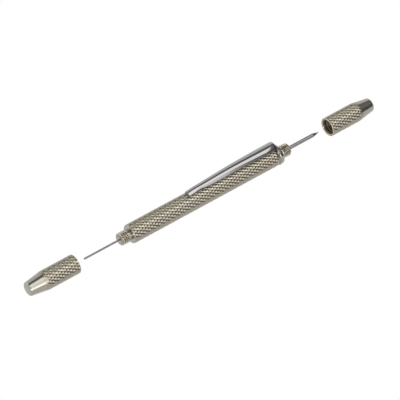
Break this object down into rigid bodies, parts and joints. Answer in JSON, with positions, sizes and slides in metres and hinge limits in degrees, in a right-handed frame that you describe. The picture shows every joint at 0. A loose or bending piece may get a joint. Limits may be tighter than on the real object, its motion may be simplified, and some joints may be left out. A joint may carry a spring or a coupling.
{
  "type": "scriber",
  "caption": "Pocket scriber with a knurled metal handle, a sharp scriber needle at one end, a thin probe wire at the other, a spring pocket clip and screw-on tapered end caps.",
  "frame": {"origin": "on the tool's axis, half-way between the ends of the two threaded stubs; with both caps drawn off, the balance point lies within a millimetre of it", "axes": "+X along the axis towards the scriber needle, +Z towards the pocket clip, +Y across; the probe end is -X"},
  "size_m": [0.1587, 0.0078, 0.0109],
  "materials": {
    "knurled_nickel": "warm nickel plate over a diamond knurl",
    "turned_nickel": "warm nickel plate over fine turning marks",
    "clip_chrome": "bright neutral chrome plate",
    "needle_steel": "hardened steel, ground point",
    "wire_steel": "drawn steel wire"
  },
  "bodies": {
    "handle": {"barrel": "knurled_nickel", "scriber_plug": "turned_nickel", "probe_plug": "turned_nickel", "scriber_needle": "needle_steel", "probe_wire": "wire_steel", "clip_ring": "clip_chrome"},
    "pocket_clip": {"clip_arm": "clip_chrome"},
    "scriber_cap": {"scriber_cap": "knurled_nickel"},
    "probe_cap": {"probe_cap": "knurled_nickel"}
  },
  "joints": [
    {"name": "scriber_cap_slide", "type": "slide", "parent": "handle", "child": "scriber_cap", "axis": [-1, 0, 0], "range_m": [0, 0.02365]},
    {"name": "probe_cap_slide", "type": "slide", "parent": "handle", "child": "probe_cap", "axis": [1, 0, 0], "range_m": [0, 0.02405]},
    {"name": "clip_flex", "type": "hinge", "parent": "handle", "child": "pocket_clip", "pos_m": [0.03293, 0, 0.0059], "axis": [0, 1, 0], "range_deg": [0, 4], "stiffness_Nm_per_rad": 2}
  ]
}
